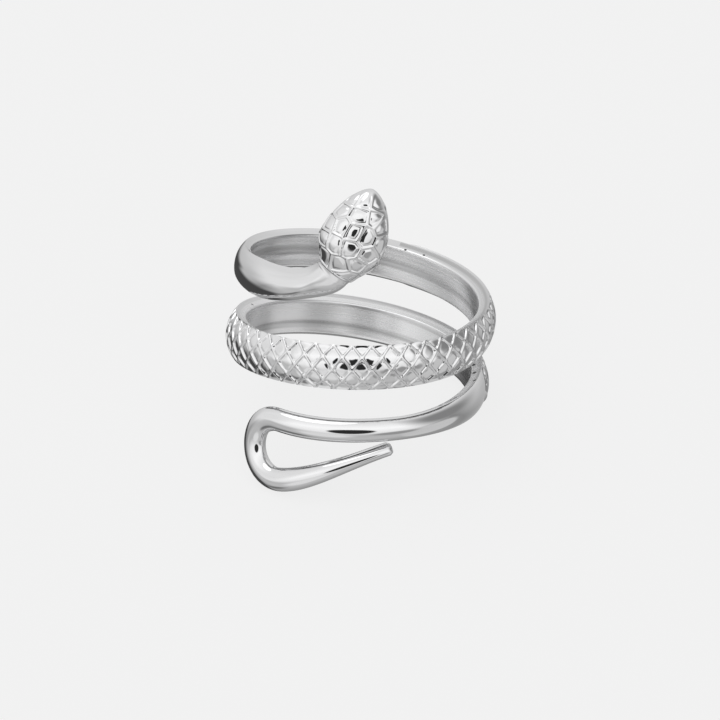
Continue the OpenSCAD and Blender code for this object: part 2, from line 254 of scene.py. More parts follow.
# Steps along the plain stretches, and the power that crowds the head's rings at the snout
NECK_STEPS, NAPE_STEPS, TAPER_STEPS = 39, 59, 29
TAIL_STEPS, BEND_STEPS, RETURN_STEPS = 23, 47, 39
SNOUT_CROWDING = 1.3

# The rims beside the scales are as plain as the inner face, and so for some rings past the scales
SATIN_PAST_SCALES = 10

# Edges that turn more than this are crisp
CRISP_ANGLE = math.radians(62)

# A section's sizes, in the order in which its array holds them
HALF, INNER, RIM, THICK, DOME, GAP = range(6)


# Small helpers


def mix(a, b, amount):
    return a + (b - a) * amount


def ease(amount):
    """From 0 to 1, with a soft start and end."""
    s = np.clip(amount, 0, 1)
    return s * s * (3 - 2 * s)


def unit(v):
    return v / np.linalg.norm(v, axis=-1, keepdims=True)


def heading(angle):
    """Direction at an angle from straight up, towards longer lengths along the coil."""
    return np.stack([np.sin(angle), np.cos(angle)], axis=-1)


def curve(*points):
    """A smooth curve from the first point to the last, as a function of the share of the way."""

    def place(s):
        s = np.asarray(s, float)[..., None]
        places = [np.asarray(p, float) for p in points]
        while len(places) > 1:
            places = [mix(a, b, s) for a, b in zip(places, places[1:])]
        return places[0]

    return place


def way_of(place, s, step=1e-3):
    """Direction in which a curve runs on at s."""
    return unit(place(s + step) - place(s - step))


def line_slope(distance, top, foot):
    """Share of a raised line's height: 1 on its level top, 0 past its foot."""
    return 1 - ease((distance - top) / (foot - top))


def section_of(half, inner, rim, thick, dome, gap):
    """A section: half width, inner half width, rim height, thickness, dome angle, inner gap."""
    return np.array([half, inner, rim, thick, dome, gap])


class Layout:
    """The snake laid out flat: length along the coil from mid length, and height."""

    def __init__(self, scene):
        self.coil, self.neck = scene.snake_coil, scene.snake_neck
        self.head, self.tail = scene.snake_head, scene.snake_tail
        self.scales = scene.snake_scales
        self.r = self.coil.finger_r
        self.coil_r = self.r + self.coil.band_t / 2
        self.per_turn = 2 * math.pi * self.coil_r
        self.set_sections()
        self.set_head_and_neck()
        self.set_tail()

    def set_sections(self):
        """Sections at the places between which the snake changes."""
        coil, neck, head, tail = self.coil, self.neck, self.head, self.tail
        w, t = coil.band_w, neck.thickness
        self.band = section_of(
            half=w / 2, inner=coil.inner_w / 2, rim=coil.rim_h, thick=coil.band_t,
            dome=coil.dome, gap=-BORE_BITE,
        )
        self.nape = section_of(
            half=0.46 * w, inner=0.46 * coil.inner_w, rim=0.45 * t, thick=t,
            dome=math.radians(50), gap=coil.gap,
        )
        w = neck.width
        self.waist = section_of(
            half=w / 2, inner=0.38 * w, rim=0.55 * t, thick=1.25 * t,
            dome=math.radians(62), gap=coil.gap,
        )
        w, h = head.width, head.jaw_h
        self.collar_section = section_of(
            half=0.275 * w, inner=0.2 * w, rim=0.85 * h, thick=h + 0.5 * head.crown_h,
            dome=math.radians(88), gap=coil.gap,
        )
        w, t, wire_dome = tail.width, tail.thickness, math.radians(85)
        self.wire = section_of(
            half=w / 2, inner=0.4 * w, rim=0.45 * t, thick=t,
            dome=wire_dome, gap=coil.gap,
        )
        w = tail.tip_w
        self.tip_section = section_of(
            half=w / 2, inner=0.42 * w, rim=0.45 * w, thick=1.1 * w,
            dome=wire_dome, gap=coil.gap,
        )
        self.end_section = section_of(
            half=0.36 * w, inner=0.3 * w, rim=0.5 * w, thick=0.95 * w,
            dome=wire_dome, gap=coil.gap + 0.12 * w,
        )

    def set_head_and_neck(self):
        """Curves of the head, from snout to collar, and of the neck, from collar to coil."""
        head, neck = self.head, self.neck
        collar = np.array([neck.collar_a - self.per_turn, neck.collar_z])
        collar_way = heading(-head.collar_lean)
        snout = collar + head.length * heading(-head.lean)
        self.head_at = curve(snout, collar + head.length / 3 * collar_way, collar)
        start = self.coil_at(neck.turn)
        self.neck_at = curve(
            collar,
            collar - COLLAR_REACH * self.coil_r * collar_way,
            start - NAPE_REACH * self.coil_r * way_of(self.coil_at, neck.turn),
            start,
        )

    def set_tail(self):
        """Curves of the tail, from the coil to the bend, and of the end that comes back."""
        tail = self.tail
        top = np.array([self.per_turn + tail.length, self.coil_at(1.0)[1] - tail.drop])
        start = self.coil_at(tail.turn)
        reach = TAIL_REACH * self.coil_r
        start_way = way_of(self.coil_at, tail.turn)
        self.tail_at = curve(start, start + reach * start_way, top - [reach, 0], top)
        self.bend_middle = top - [0, tail.bend_r]
        end, end_way = self.bend_at(1.0), heading(math.pi / 2 + tail.bend)
        tip_a = end[0] - tail.back_l
        drop = tail.width / 2 + tail.tip_gap + tail.tip_w / 2 / math.cos(tail.tip_rise)
        tip = np.array([tip_a, self.coil_at(tip_a / self.per_turn)[1] - drop])
        tip_way = np.array([math.cos(tail.tip_rise), -math.sin(tail.tip_rise)])
        self.return_at = curve(
            end,
            end + BEND_REACH * tail.back_l * end_way,
            tip + TIP_REACH * tail.back_l * tip_way,
            tip,
        )

    def coil_at(self, turn):
        turn = np.asarray(turn, float)
        height = -self.coil.pitch * turn + self.coil.easing * turn**2
        return np.stack([turn * self.per_turn, height], axis=-1)

    def bend_at(self, s):
        return self.bend_middle + self.tail.bend_r * heading(np.asarray(s) * self.tail.bend)

    def coil_section(self, turn):
        first, tail = self.scales.first_turn, self.tail
        before = ease((turn - self.neck.turn) / (first - self.neck.turn))[:, None]
        after = ease((turn - tail.taper_turn) / (tail.turn - tail.taper_turn))[:, None]
        early, late = mix(self.nape, self.band, before), mix(self.band, self.wire, after)
        return np.where((turn < first)[:, None], early, late)

    def neck_section(self, s):
        low = mix(self.collar_section, self.waist, ease(s / WAIST_AT)[:, None])
        high = mix(self.waist, self.nape, ease((s - WAIST_AT) / (1 - WAIST_AT))[:, None])
        return np.where((s < WAIST_AT)[:, None], low, high)

    def wrap(self, place, way, across, radius, ahead=0):
        """Wraps section points round the finger, and keeps them out of its hole."""
        angle = (place[:, :1] + way[:, :1] * ahead) / self.coil_r
        sin, cos = np.sin(angle), np.cos(angle)
        sideways = -way[:, 1:] * across
        x = -sin * radius - cos * sideways
        y = -cos * radius + sin * sideways
        z = place[:, 1:] + way[:, :1] * across + way[:, 1:] * ahead
        grow = np.maximum(self.r / np.hypot(x, y), 1)
        return np.stack([x * grow, y * grow, z], axis=-1)


class Skin:
    """Points ring by ring, with the faces between them."""

    def __init__(self):
        self.count = 0
        self.points, self.flat = [], []
        self.faces, self.satin = [], []
        self.rims = []

    def add_points(self, points):
        """Points ring by ring, with their length along the snake and round a mean ring."""
        start = self.count
        along = np.linalg.norm(np.diff(points.mean(axis=1), axis=0), axis=1)
        along = np.concatenate([[0], np.cumsum(along)])
        steps = np.linalg.norm(np.diff(points, axis=1), axis=2).mean(axis=0)
        round_it = np.concatenate([[0], np.cumsum(steps)])
        flat = np.stack(np.meshgrid(along, round_it, indexing="ij"), axis=-1)
        self.points.append(points.reshape(-1, 3))
        self.flat.append(flat.reshape(-1, 2))
        self.count += len(self.points[-1])
        return start

    def add_faces(self, faces, satin=False):
        self.faces += faces
        self.satin += [satin] * len(faces)

    def grid(self, points, satin, cuts=None):
        """Rings of equal count; satin marks the faces left unpolished, cuts the split ones."""
        rings, sides = points.shape[:2]
        start = self.add_points(points)
        for i in range(rings - 1):
            a, b = start + i * sides, start + (i + 1) * sides
            cut = cuts[i] if cuts else None
            for j in range(sides):
                k = (j + 1) % sides
                if cut is None:
                    faces = [(a + j, a + k, b + k, b + j)]
                elif j < len(cut) and cut[j]:
                    faces = [(a + j, a + k, b + j), (b + j, a + k, b + k)]
                else:
                    faces = [(a + j, b + k, b + j), (a + j, a + k, b + k)]
                self.add_faces(faces, satin[i, j])
        return start, start + (rings - 1) * sides

    def mark_rims(self, start, rings, sides, dome):
        """Keeps the points at which the dome meets the sides, for crisp edges."""
        first = start + sides * np.arange(rings)
        self.rims += [first, first + dome - 1]

    def join(self, a, a_places, b, b_places):
        """Stitches two rings of different counts in the order of their places round them."""
        i = j = 0
        na, nb = len(a_places), len(b_places)
        while i < na or j < nb:
            next_a = a_places[i + 1] if i + 1 < na else a_places[0] + 1
            next_b = b_places[j + 1] if j + 1 < nb else b_places[0] + 1
            if j >= nb or (i < na and next_a <= next_b):
                self.add_faces([(a + i % na, a + (i + 1) % na, b + j % nb)])
                i += 1
            else:
                self.add_faces([(a + i % na, b + (j + 1) % nb, b + j % nb)])
                j += 1

    def fan(self, middle, ring, sides, at_start):
        """Closes an end of the skin with faces from its ring to a point in the middle."""
        centre = self.add_points(np.asarray(middle, float)[None, None])
        for j in range(sides):
            k = (j + 1) % sides
            first, second = (k, j) if at_start else (j, k)
            self.add_faces([(centre, ring + first, ring + second)])


def shares_round(ring):
    """Share of the way round a ring at each of its points, from its first point."""
    steps = np.linalg.norm(np.roll(ring, -1, axis=0) - ring, axis=1)
    return np.concatenate([[0], np.cumsum(steps)[:-1]]) / steps.sum()


# Section of the coil, neck and tail, as points round it


def side_points(layout, section):
    """One side from the inner face up to the dome: across and radius, lowest first."""
    half, inner, rim = section[:, HALF], section[:, INNER], section[:, RIM]
    bevel = layout.coil.bevel
    foot = layout.r + np.maximum(section[:, GAP], 0)
    across, radius = [], []
    for k in range(BEVEL_STEPS + 1):
        angle = math.pi / 2 * k / BEVEL_STEPS
        across.append(inner - bevel + bevel * math.sin(angle))
        radius.append(foot + bevel - bevel * math.cos(angle))
    for s in SIDE_SHARES:
        across.append(mix(inner, half, s))
        radius.append(mix(foot + bevel, layout.r + rim, s))
    return np.stack(across, 1), np.stack(radius, 1)


def dome_points(layout, section, rows, lift):
    """The dome: across and radius at half rows from the middle, lifted off it."""
    half, rim, thick, dome = (section[:, k : k + 1] for k in (HALF, RIM, THICK, DOME))
    angle = dome * rows / layout.scales.half_rows
    rise = (thick - rim) * (np.cos(angle) - np.cos(dome)) / (1 - np.cos(dome))
    across = half * np.sin(angle) / np.sin(dome) + lift * np.sin(angle)
    return across, layout.r + rim + rise + lift * np.cos(angle)


def dome_rows(layout):
    """Half rows of the dome's points, from one rim to the other."""
    half, fine = layout.scales.half_rows, layout.scales.fineness
    return np.linspace(-half, half, 2 * half * fine + 1)


def streaks(place, steps):
    """Share of the streaks' depth at steps across the inner face."""
    hollow = STREAK_MEAN
    for count, depth, wander, reach in STREAKS:
        shift = wander * np.sin(place[:, :1] / reach + count)
        hollow = hollow + depth * np.cos(2 * math.pi * (count * steps[None] + shift))
    return hollow * ease(np.minimum(steps, 1 - steps) / STREAK_EDGE)


def band_rings(layout, place, way, section, lift=0, rows=None, ahead=0):
    """Rings of points; the first ones are on the dome, so a lift table lines up with them."""
    if rows is None:
        rows = dome_rows(layout)[None]
    across, radius = dome_points(layout, section, rows, lift)
    side_a, side_r = side_points(layout, section)
    steps = np.arange(1, INNER_STEPS + 1) / (INNER_STEPS + 1)
    edge = (section[:, INNER] - layout.coil.bevel)[:, None]
    inner_a = edge * (1 - 2 * steps)
    inner_r = layout.r + section[:, GAP:] + layout.coil.streak_h * streaks(place, steps)
    across = np.hstack([across, side_a[:, ::-1], inner_a, -side_a])
    radius = np.hstack([radius, side_r[:, ::-1], inner_r, side_r])
    ahead = np.pad(ahead + 0 * rows, ((0, 0), (0, across.shape[1] - rows.shape[-1])), "edge")
    return layout.wrap(place, way, across, radius, ahead)


def inner_sides(layout):
    """Whether each side of a band ring lies on the inner face."""
    dome, side = len(dome_rows(layout)), BEVEL_STEPS + 1 + len(SIDE_SHARES)
    start = dome + side - 1
    return [start <= j <= start + INNER_STEPS for j in range(dome + 2 * side + INNER_STEPS)]


# Scales


def draw_to_lines(sizes, col, row):
    """Half columns and half rows of the points, moved towards the raised lines."""
    down, up = (col + row) / 2, (col - row) / 2
    pull = sizes.draw / (2 * math.pi)
    down = down - pull * np.sin(2 * math.pi * down)
    up = up - pull * np.sin(2 * math.pi * up)
    return down + up, down - up


def scale_lift(layout, col, row):
    """Height over the dome at half columns and half rows, and whether a face there flips."""
    sizes = layout.scales
    outer = layout.r + layout.coil.band_t
    turns = sizes.last_turn - sizes.first_turn
    cell_l = turns * 2 * math.pi * outer / sizes.columns
    half, dome = layout.band[HALF], layout.band[DOME]
    cell_w = half / math.sin(dome) * dome / sizes.half_rows
    reach = cell_l * cell_w / math.hypot(cell_l, cell_w)
    down, up = (col + row) / 2, (col - row) / 2
    d1 = 2 * reach * np.abs(down - np.round(down))
    d2 = 2 * reach * np.abs(up - np.round(up))
    k = sizes.corner
    inside = -k * np.log(np.exp(-d1 / k) + np.exp(-d2 / k))
    to_end = np.minimum(col, sizes.columns - col) - np.abs(row)
    distance = np.where(to_end < 0, -reach * to_end, np.minimum(inside, np.minimum(d1, d2)))
    lines = line_slope(distance, sizes.line_top, sizes.line_foot)
    to_border = (sizes.half_rows - np.abs(row)) * cell_w
    border = line_slope(to_border, sizes.line_top, sizes.line_foot) * ease(to_end + 1)
    inwards = np.minimum(distance, to_border) - RISE_START * sizes.line_foot
    floor = ease(inwards / sizes.rise_l) * (to_end > 0)
    return sizes.line_h * np.maximum(lines, border) + sizes.rise * floor, d1 < d2


# Head


def head_sizes(layout, s):
    """Half width, crown height and jaw depth at shares from collar to snout."""
    head = layout.head
    egg = np.maximum(1 - np.maximum((s - WIDEST) / (1 - WIDEST), 0) ** 2, 0)
    swell = ease(s / WIDEST)
    return (
        head.width / 2 * egg**SIDES_POWER * mix(SIDES_AT_COLLAR, 1, swell),
        head.crown_h * egg**CROWN_POWER * mix(CROWN_AT_COLLAR, 1, swell),
        (head.jaw_h - layout.coil.gap) * egg**JAW_POWER,
    )


def plate_lift(head, s, turn, per_radian):
    """Height of the lines round the plates, and of the plates between them."""
    gaps = [
        np.hypot((math.radians(middle) - turn) * per_radian, (place - s) * head.length)
        for middle, place in PLATES
    ]
    nearest, second = np.sort(np.stack(gaps), axis=0)[:2]
    to_line = (second - nearest) / 2
    to_collar = (s - COLLAR_LINE) * head.length + 0 * turn
    distance = np.where(to_collar < 0, -to_collar, np.minimum(to_line, to_collar))
    lines = line_slope(distance, head.line_top, head.line_foot)
    swell = ease((distance - RISE_START * head.line_foot) / head.rise_l) * (to_collar > 0)
    fade = ease((JAW_LINE - np.abs(turn)) / JAW_FADE) * ease((1 - s) * SNOUT_FADE)
    return (head.line_h * lines + head.rise * swell) * fade


def head_rings(layout):
    """Rings from the snout to the collar, closer together at the snout."""
    head = layout.head
    s = 1 - (np.arange(1, head.steps + 1) / head.steps) ** SNOUT_CROWDING
    turn = (np.linspace(0, 2 * math.pi, head.sides, endpoint=False) - JAW_LINE)[None]
    turn = (turn + math.pi) % (2 * math.pi) - math.pi
    half, crown, jaw = (size[:, None] for size in head_sizes(layout, s))
    lift = plate_lift(head, s[:, None], turn, (half + crown) / 2)
    height = np.where(np.cos(turn) > 0, crown, jaw)
    across = (half + lift) * np.sin(turn)
    radius = layout.r + head.jaw_h + (height + lift) * np.cos(turn)
    return layout.wrap(layout.head_at(1 - s), way_of(layout.head_at, 1 - s), across, radius)


def snout_point(layout):
    start = np.array([0.0])
    radius = np.full((1, 1), layout.r + layout.head.jaw_h)
    place, way = layout.head_at(start), way_of(layout.head_at, start)
    return layout.wrap(place, way, np.zeros((1, 1)), radius)[0, 0]


# Stretches of the snake


def keel_lift(layout, place):
    """Low ridge below the middle of the neck, from the collar to the nape."""
    neck = layout.neck
    start = neck.collar_a - layout.per_turn
    done = ((place[:, 0] - start) / (neck.keel_l - neck.collar_a))[:, None]
    middle = mix(neck.keel_start, neck.keel_row, ease(done / KEEL_SETTLED))
    fade = 1 - ease((done - KEEL_FADES) / (1 - KEEL_FADES))
    height = neck.keel_h * ease(done / KEEL_FULL) * fade
    return height * np.maximum(1 - np.abs(dome_rows(layout) - middle) / neck.keel_w, 0)


def stretch(place, s, section):
    """A stretch as its places, directions and sections, which may be one for them all."""
    return place(s), way_of(place, s), section + np.zeros((len(s), 1))


def coil_stretch(layout, turns):
    return stretch(layout.coil_at, turns, layout.coil_section(turns))


def joined(*stretches):
    return [np.concatenate(part) for part in zip(*stretches)]


def front_rings(layout):
    """Neck and nape, from the collar to the first scale."""
    s = np.linspace(0, 1, NECK_STEPS + 1)[1:-1]
    turns = np.linspace(layout.neck.turn, layout.scales.first_turn, NAPE_STEPS + 1)[:-1]
    place, way, section = joined(
        stretch(layout.neck_at, s, layout.neck_section(s)),
        coil_stretch(layout, turns),
    )
    return band_rings(layout, place, way, section, keel_lift(layout, place))


def scaled_rings(layout):
    """The band with its scales, and the way in which each face of its dome is split."""
    sizes = layout.scales
    rows = dome_rows(layout)[None]
    columns = np.arange(sizes.columns * sizes.fineness + 1)[:, None] / sizes.fineness
    middle = 0.5 / sizes.fineness
    _, flip = scale_lift(layout, columns[:-1] + middle, rows[:, :-1] + middle)
    drawn_columns, drawn_rows = draw_to_lines(sizes, columns, rows)
    lift, _ = scale_lift(layout, drawn_columns, drawn_rows)
    per_column = (sizes.last_turn - sizes.first_turn) * layout.per_turn / sizes.columns
    ahead = (drawn_columns - columns) * per_column
    turns = mix(sizes.first_turn, sizes.last_turn, columns[:, 0] / sizes.columns)
    return band_rings(layout, *coil_stretch(layout, turns), lift, drawn_rows, ahead), flip


def rear_rings(layout):
    """Plain end of the band, tail, bend and the end that comes back, up to its bevelled tip."""
    turns = np.linspace(layout.scales.last_turn, layout.tail.turn, TAPER_STEPS + 1)[1:]
    tail_s = np.linspace(0, 1, TAIL_STEPS + 1)[1:-1]
    bend_s = np.linspace(0, 1, BEND_STEPS + 1)
    back_s = np.linspace(0, 1, RETURN_STEPS + 1)[1:]
    back_section = mix(layout.wire, layout.tip_section, ease(back_s)[:, None])
    end_way = way_of(layout.return_at, np.array([1.0]))
    end = layout.return_at([1.0]) + layout.tail.tip_bevel * end_way
    places = joined(
        coil_stretch(layout, turns),
        stretch(layout.tail_at, tail_s, layout.wire),
        stretch(layout.bend_at, bend_s, layout.wire),
        stretch(layout.return_at, back_s, back_section),
        (end, end_way, layout.end_section[None]),
    )
    return band_rings(layout, *places)


def build_skin(layout):
    """The whole snake as one closed skin."""
    skin = Skin()
    head = head_rings(layout)
    snout, collar = skin.grid(head, np.zeros(head.shape[:2], bool))
    skin.fan(snout_point(layout), snout, head.shape[1], at_start=True)
    front, rear = front_rings(layout), rear_rings(layout)
    scaled, flip = scaled_rings(layout)
    rings = np.concatenate([front, scaled, rear])
    cuts = [None] * len(front) + list(flip) + [None] * len(rear)
    dome = len(dome_rows(layout))
    satin = np.tile(inner_sides(layout), (len(rings), 1))
    rims_end = len(front) + len(scaled) + SATIN_PAST_SCALES
    satin[len(front) : rims_end, dome - 1 :] = True
    neck, tip = skin.grid(rings, satin, cuts)
    sides = rings.shape[1]
    skin.mark_rims(neck, len(front) + len(scaled), sides, dome)
    # The head's last ring and the neck's first both start at the lower edge of the same side
    skin.join(collar, shares_round(head[-1]), neck, shares_round(front[0]))
    skin.fan(rear[-1].mean(axis=0), tip, sides, at_start=False)
    return skin


def stand(scene):
    """From the finger hole's own frame, its axis upright, to the ring as it stands."""
    coil = scene.snake_coil
    lean = Matrix.Rotation(coil.lean_side, 4, "Y") @ Matrix.Rotation(-coil.lean_back, 4, "X")
    return Matrix.Translation(Vector(FINGER_HOLE["pos_m"])) @ lean


# Shader nodes


def feed(tree, node, inputs):
    """Sets each input to a constant, or links it to another node's output."""
    for name, value in inputs.items():
        if isinstance(value, bpy.types.NodeSocket):
            tree.links.new(value, node.inputs[name])
        else:
            node.inputs[name].default_value = value


def new_node(tree, kind, place, inputs=None, **settings):
    node = tree.nodes.new(kind)
    node.location = place
    for name, value in settings.items():
        setattr(node, name, value)
    feed(tree, node, inputs or {})
    return node


def maths(tree, operation, place, *values, **settings):
    inputs = dict(enumerate(values))
    node = new_node(tree, "ShaderNodeMath", place, inputs, operation=operation, **settings)
    return node.outputs[0]


def smooth_step(tree, place, value, low=0, high=1):
    """0 at low, 1 at high, and a soft fade between them."""
    inputs = {"Value": value, "From Min": low, "From Max": high}
    node = new_node(tree, "ShaderNodeMapRange", place, inputs, interpolation_type="SMOOTHSTEP")
    return node.outputs[0]


def blend(tree, place, amount, first, second):
    """First colour where the amount is 0, second where it is 1."""
    inputs = {"Factor": amount, "A": first, "B": second}
    node = new_node(tree, "ShaderNodeMix", place, inputs, data_type="RGBA")
    return node.outputs["Result"]


def new_group(name, inputs, outputs):
    """Node group with named sockets for numbers, and for a colour under the name Tone."""
    tree = bpy.data.node_groups.new(name, "ShaderNodeTree")
    for in_out, sockets in (("INPUT", inputs), ("OUTPUT", outputs)):
        for socket in sockets:
            kind = "NodeSocketColor" if socket == "Tone" else "NodeSocketFloat"
            tree.interface.new_socket(socket, in_out=in_out, socket_type=kind)
    return tree


# Materials

# Painted shade: dark streaks in the colour that stand in for the light and dark reflection bands of
# the metal; its colour, the size of its streaks beside the fine marks, and where they fade in
STREAK_SHADE_TONE = (0.3, 0.3, 0.3)
STREAK_SHADE_SCALE = 0.35
STREAK_SHADE_FROM, STREAK_SHADE_TO = 0.42, 0.68

# Casting pits in the upper rim, painted as near-black dots: painted shade of their hollows; in mm:
# length along the snake, length round it, radius
PITS = (
    (30.3, 4.5, 0.12), (31.9, 4.4, 0.12), (74.6, 4.25, 0.14),
    (100.05, 4.4, 0.2), (101.5, 4.3, 0.2), (103.0, 4.0, 0.2), (104.1, 3.6, 0.22),
)
# Colour of the painted shade in the pits
PIT_SHADE_TONE = (0.06, 0.06, 0.06)

# Height of the fine marks, and how much lighter the inner face's tone is painted than the
# outside's: painted light, as it is the same steel
MARK_HEIGHT = 0.01 * MM
INSIDE_PAINTED_LIGHT = 1.12


def fine_marks():
    """Node group: fine marks, and streaks of painted shade, that run along the band."""
    inputs = ("Tone", "Roughness", "Variation", "Along", "Across", "Painted shade")
    tree = new_group("Fine marks", inputs, ("Tone", "Roughness", "Height"))
    enter = new_node(tree, "NodeGroupInput", (-900, 0))
    place = new_node(tree, "ShaderNodeTexCoord", (-900, 250))
    spacing = {"X": enter.outputs["Along"], "Y": enter.outputs["Across"]}
    scale = new_node(tree, "ShaderNodeCombineXYZ", (-700, 100), spacing)
    both = {0: place.outputs["UV"], 1: scale.outputs[0]}
    flat = new_node(tree, "ShaderNodeVectorMath", (-500, 200), both, operation="MULTIPLY")
    grain = {"Vector": flat.outputs[0], "Scale": 1, "Detail": 3}
    marks = new_node(tree, "ShaderNodeTexNoise", (-300, 200), grain).outputs["Fac"]
    centred = maths(tree, "SUBTRACT", (-100, 100), marks, 0.5)
    spread = maths(tree, "MULTIPLY", (80, 100), centred, enter.outputs["Variation"])
    rough = maths(tree, "ADD", (260, 60), spread, enter.outputs["Roughness"], use_clamp=True)
    grain = {"Vector": flat.outputs[0], "Scale": STREAK_SHADE_SCALE, "Detail": 2}
    cloud = new_node(tree, "ShaderNodeTexNoise", (-300, -200), grain).outputs["Fac"]
    # The cloud's streaks darken the colour: painted shade standing in for reflection bands
    dark = smooth_step(tree, (-100, -200), cloud, STREAK_SHADE_FROM, STREAK_SHADE_TO)
    depth = maths(tree, "MULTIPLY", (80, -200), dark, enter.outputs["Painted shade"], use_clamp=True)
    tone = blend(tree, (300, -200), depth, enter.outputs["Tone"], (*STREAK_SHADE_TONE, 1))
    outputs = {"Tone": tone, "Roughness": rough, "Height": marks}
    new_node(tree, "NodeGroupOutput", (700, 0), outputs)
    return tree


def pit_shade_mask():
    """Node group: 1 in the casting pits, where their shade is painted, 0 outside them."""
    tree = new_group("Casting pits", (), ("Mask",))
    place = new_node(tree, "ShaderNodeTexCoord", (-900, 0))
    mask = 0
    for k, (along, round_it, radius) in enumerate(PITS):
        x = -700 + 150 * k
        ends = {0: place.outputs["UV"], 1: (along * MM, round_it * MM, 0)}
        reach = new_node(tree, "ShaderNodeVectorMath", (x, 300), ends, operation="DISTANCE")
        edge, floor = radius * MM, radius / 2 * MM
        pit = smooth_step(tree, (x, 100), reach.outputs["Value"], edge, floor)
        mask = maths(tree, "MAXIMUM", (x + 50, -150), pit, mask)
    new_node(tree, "NodeGroupOutput", (900, 0), {"Mask": mask})
    return tree


def steel(name, marks_group, values, bump, pits=None):
    """Steel with fine marks, whose group takes the values, and with the casting pits' painted shade
    or none.
    """
    material = bpy.data.materials.new(name)
    material.use_nodes = True
    tree = material.node_tree
    marks = new_node(tree, "ShaderNodeGroup", (-500, 0), node_tree=marks_group)
    feed(tree, marks, values)
    tone = marks.outputs["Tone"]
    if pits:
        mask = new_node(tree, "ShaderNodeGroup", (-500, 300), node_tree=pits)
        # The pits are painted dark: painted shade in place of their hollows
        tone = blend(tree, (-250, 200), mask.outputs["Mask"], tone, (*PIT_SHADE_TONE, 1))
    relief = {"Height": marks.outputs["Height"], "Strength": bump, "Distance": MARK_HEIGHT}
    height = new_node(tree, "ShaderNodeBump", (-250, -200), relief)
    surface = {
        "Base Color": tone, "Metallic": 1, "Roughness": marks.outputs["Roughness"],
        "Normal": height.outputs["Normal"],
    }
    feed(tree, tree.nodes["Principled BSDF"], surface)
    return material


class SNAKE_OT_metal(bpy.types.Operator):
    """Makes the polished steel of the outside and the plainer steel of the inner face"""

    bl_idname = "snake_ring.metal"
    bl_label = "Make the metal"

    def execute(self, context):
        look = context.scene.snake_metal
        marks, wear = fine_marks(), look.wear
        # Faint painted shade streaks on the outside
        outside = {
            "Tone": (*look.tone, 1), "Roughness": look.polish, "Variation": 0.1 * wear,
            "Along": 300, "Across": 3000, "Painted shade": 0.1,
        }
        steel("polished_steel", marks, outside, bump=0.1 * wear)
        # Painted light: the inner face's steel is given a lighter tone than the outside's
        painted_lighter = [min(1, INSIDE_PAINTED_LIGHT * part) for part in look.tone]
        # Strong painted shade streaks on the inner face, standing in for its reflection bands
        inside = {
            "Tone": (*painted_lighter, 1), "Roughness": look.inside, "Variation": 0.4 * wear,
            "Along": 60, "Across": 4000, "Painted shade": 0.65,
        }
        steel("inner_steel", marks, inside, bump=0.5 * wear, pits=pit_shade_mask())
        return {"FINISHED"}


class SNAKE_OT_ring(bpy.types.Operator):
    """Casts the whole snake as one closed skin"""

    bl_idname = "snake_ring.ring"
    bl_label = "Cast the ring"

    def execute(self, context):
        skin = build_skin(Layout(context.scene))
        mesh = bpy.data.meshes.new("snake_ring_cast")
        mesh.from_pydata(np.concatenate(skin.points).tolist(), [], skin.faces)
        mesh.materials.append(bpy.data.materials["polished_steel"])
        mesh.materials.append(bpy.data.materials["inner_steel"])
        mesh.polygons.foreach_set("material_index", np.array(skin.satin, np.int32))
        mesh.polygons.foreach_set("use_smooth", np.ones(len(mesh.polygons), bool))
        lay_uv(mesh, skin)
        if mesh.validate(verbose=False):
            raise RuntimeError("the ring's skin has broken faces")
        mesh.transform(stand(context.scene))
        mesh.set_sharp_from_angle(angle=CRISP_ANGLE)
        crisp_rims(mesh, skin)
        ring = bpy.data.objects.new("snake_ring_cast", mesh)
        context.collection.objects.link(ring)
        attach(ring, "root")
        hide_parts("snake_ring")
        return {"FINISHED"}


def lay_uv(mesh, skin):
    """Lays the skin out by length along the snake and length round it, in metres."""
    flat = np.concatenate(skin.flat)
    layer = mesh.uv_layers.new(name="flat")
    corners = np.empty(len(mesh.loops), np.int32)
    mesh.loops.foreach_get("vertex_index", corners)
    layer.data.foreach_set("uv", flat[corners].astype(np.float32).ravel())


def crisp_rims(mesh, skin):
    """Makes the edges along the rims crisp too."""
    rim = np.zeros(len(mesh.vertices), bool)
    rim[np.concatenate(skin.rims)] = True
    ends = np.empty(2 * len(mesh.edges), np.int32)
    mesh.edges.foreach_get("vertices", ends)
    sharp = np.zeros(len(mesh.edges), bool)
    mesh.edges.foreach_get("use_edge_sharp", sharp)
    mesh.edges.foreach_set("use_edge_sharp", sharp | rim[ends.reshape(-1, 2)].all(axis=1))


# Studio

# Brightness of the studio on the way round from behind, under the ring, to the front, over it
# and back, in degrees from the front horizon
ROUND = (
    (-180, 0.74), (-150, 0.56), (-115, 0.32), (-85, 0.42), (-50, 0.64), (-20, 0.6),
    (4, 1.04), (40, 1.24), (75, 1.05), (120, 0.88), (155, 0.85), (180, 0.74),
)

# Lit and dark patches of the studio, as seen from the ring, in degrees: azimuth and elevation of
# the middle, half width, half height, share of these over which the edge fades, brightness
PATCHES = (
    # walls and floor on the right
    (95, 22, 48, 52, 0.7, 0.28),
    (70, -36, 32, 33, 0.2, 0.7),
    (36, -15, 26, 15, 0.5, 0.38),
    # pale floor at the front left
    (-22, -24, 30, 22, 0.5, 0.9),
    # left wall, and the dark floor on that side
    (-90, 20, 40, 40, 0.6, 0.95),
    (-66, -52, 34, 14, 0.7, 0.2),
    (-132, -42, 56, 28, 0.3, 0.07),
    # the camera
    (1, 15, 23, 19, 0.2, 0.03),
)
PATCH_INPUTS = (
    "Azimuth", "Elevation", "Middle azimuth", "Middle elevation",
    "Half width", "Half height", "Fade",
)
HALF_TURN = 180

# Soft lamp above: its place and width in metres, and its power in watts
LAMP_PLACE = Vector((-0.12, 0.05, 0.42))
LAMP_WIDTH = 0.3
LAMP_POWER = 0.15

# The floor lies just below the skin's lowest points
FLOOR_DROP = 0.04 * MM
FLOOR_SEGMENTS = 128

# Camera: width of its sensor in mm, and how near and far it sees in metres
SENSOR_WIDTH = 36
NEAREST, FARTHEST = 0.01, 10


